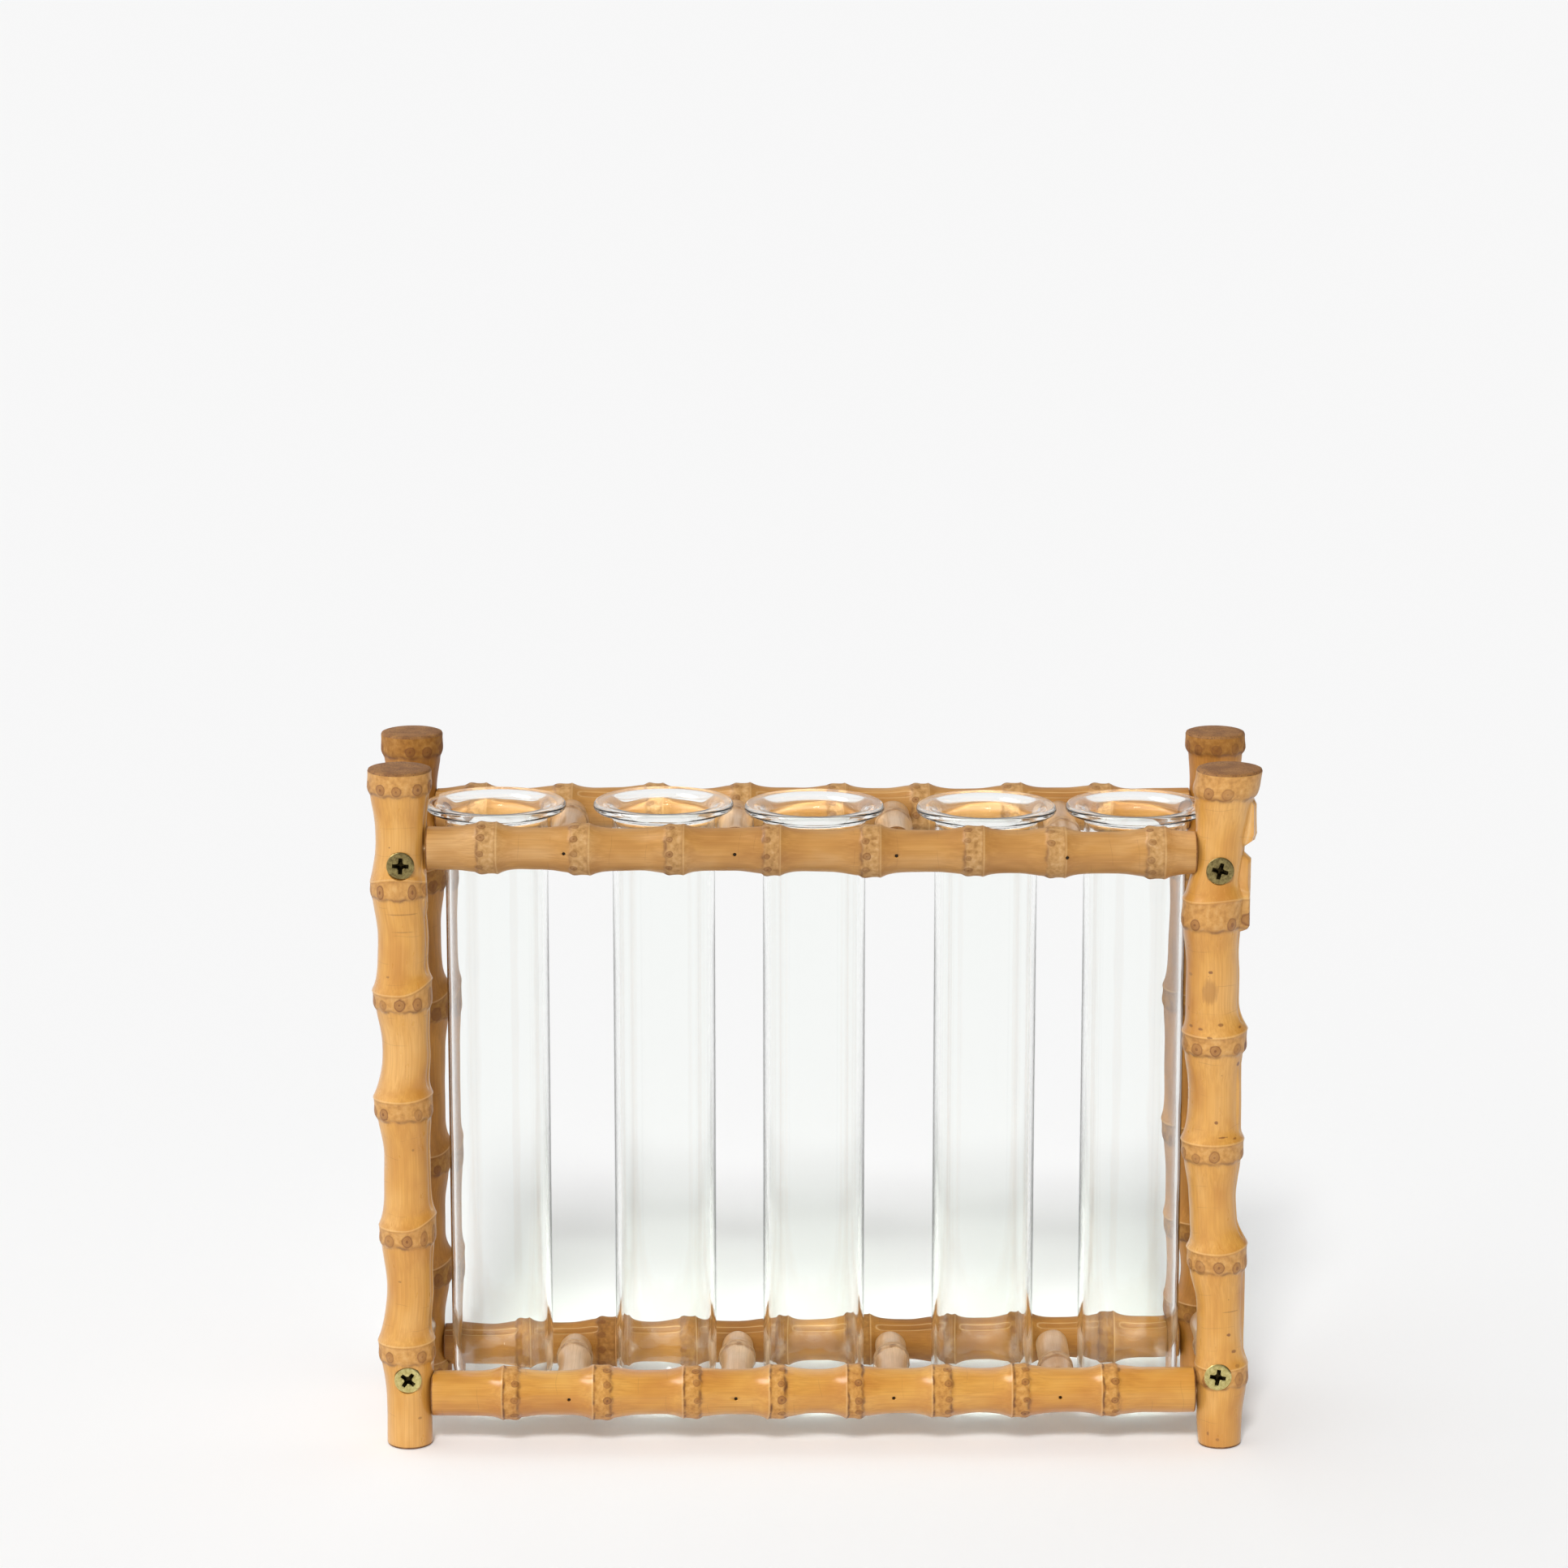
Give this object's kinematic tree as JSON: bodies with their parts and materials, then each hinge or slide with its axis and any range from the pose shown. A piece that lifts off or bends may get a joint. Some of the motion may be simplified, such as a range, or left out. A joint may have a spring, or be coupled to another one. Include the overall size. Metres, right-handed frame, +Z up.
{
  "type": "bamboo bud vase",
  "caption": "Bud vase: clear glass test tubes with flared rims hang by their rims in a rectangular rack of knotted cane posts, rails and pegs.",
  "frame": {"origin": "middle of the rack's length and depth, on the plane that the posts stand on", "axes": "+Z up, X along the rack's length, -Y to the front, where the left screws are at -X"},
  "size_m": [0.2564, 0.0694, 0.2036],
  "materials": {
    "post_cane": "varnished cane, satin",
    "rail_cane": "lacquered cane, glossy",
    "top_rail_cane": "varnished cane, dull satin",
    "peg_cane": "bare cane, satin",
    "dowel_wood": "plain turned wood",
    "clear_glass": "clear blown glass",
    "aged_brass": "antique dark brass",
    "bright_brass": "pale yellow brass",
    "brad_steel": "dark steel"
  },
  "bodies": {
    "rack": {"front_left_post": "post_cane", "front_right_post": "post_cane", "front_top_rail": "top_rail_cane", "front_bottom_rail": "rail_cane", "rear_left_post": "post_cane", "rear_right_post": "post_cane", "rear_top_rail": "top_rail_cane", "rear_bottom_rail": "rail_cane", "top_peg_1": "peg_cane", "top_peg_2": "peg_cane", "top_peg_3": "peg_cane", "top_peg_4": "peg_cane", "bottom_peg_1": "peg_cane", "bottom_peg_2": "peg_cane", "bottom_peg_3": "peg_cane", "bottom_peg_4": "peg_cane", "left_top_spacer": "peg_cane", "left_bottom_spacer": "peg_cane", "right_top_spacer": "peg_cane", "right_bottom_spacer": "peg_cane", "front_top_left_dowel": "dowel_wood", "front_top_right_dowel": "dowel_wood", "front_bottom_left_dowel": "dowel_wood", "front_bottom_right_dowel": "dowel_wood", "rear_top_left_dowel": "dowel_wood", "rear_top_right_dowel": "dowel_wood", "rear_bottom_left_dowel": "dowel_wood", "rear_bottom_right_dowel": "dowel_wood", "front_left_top_screw": "aged_brass", "front_left_bottom_screw": "bright_brass", "front_right_top_screw": "aged_brass", "front_right_bottom_screw": "bright_brass", "rear_left_top_screw": "aged_brass", "rear_left_bottom_screw": "bright_brass", "rear_right_top_screw": "aged_brass", "rear_right_bottom_screw": "bright_brass", "front_top_brad_1": "brad_steel", "front_top_brad_2": "brad_steel", "front_top_brad_3": "brad_steel", "front_top_brad_4": "brad_steel", "front_bottom_brad_1": "brad_steel", "front_bottom_brad_2": "brad_steel", "front_bottom_brad_3": "brad_steel", "front_bottom_brad_4": "brad_steel", "rear_top_brad_1": "brad_steel", "rear_top_brad_2": "brad_steel", "rear_top_brad_3": "brad_steel", "rear_top_brad_4": "brad_steel", "rear_bottom_brad_1": "brad_steel", "rear_bottom_brad_2": "brad_steel", "rear_bottom_brad_3": "brad_steel", "rear_bottom_brad_4": "brad_steel"},
    "tube_1_body": {"tube_1": "clear_glass"},
    "tube_2_body": {"tube_2": "clear_glass"},
    "tube_3_body": {"tube_3": "clear_glass"},
    "tube_4_body": {"tube_4": "clear_glass"},
    "tube_5_body": {"tube_5": "clear_glass"}
  },
  "joints": [
    {"name": "tube_1_lift", "type": "slide", "parent": "rack", "child": "tube_1_body", "axis": [0, 0, 1], "range_m": [0, 0.21]},
    {"name": "tube_2_lift", "type": "slide", "parent": "rack", "child": "tube_2_body", "axis": [0, 0, 1], "range_m": [0, 0.21]},
    {"name": "tube_3_lift", "type": "slide", "parent": "rack", "child": "tube_3_body", "axis": [0, 0, 1], "range_m": [0, 0.21]},
    {"name": "tube_4_lift", "type": "slide", "parent": "rack", "child": "tube_4_body", "axis": [0, 0, 1], "range_m": [0, 0.21]},
    {"name": "tube_5_lift", "type": "slide", "parent": "rack", "child": "tube_5_body", "axis": [0, 0, 1], "range_m": [0, 0.21]}
  ]
}
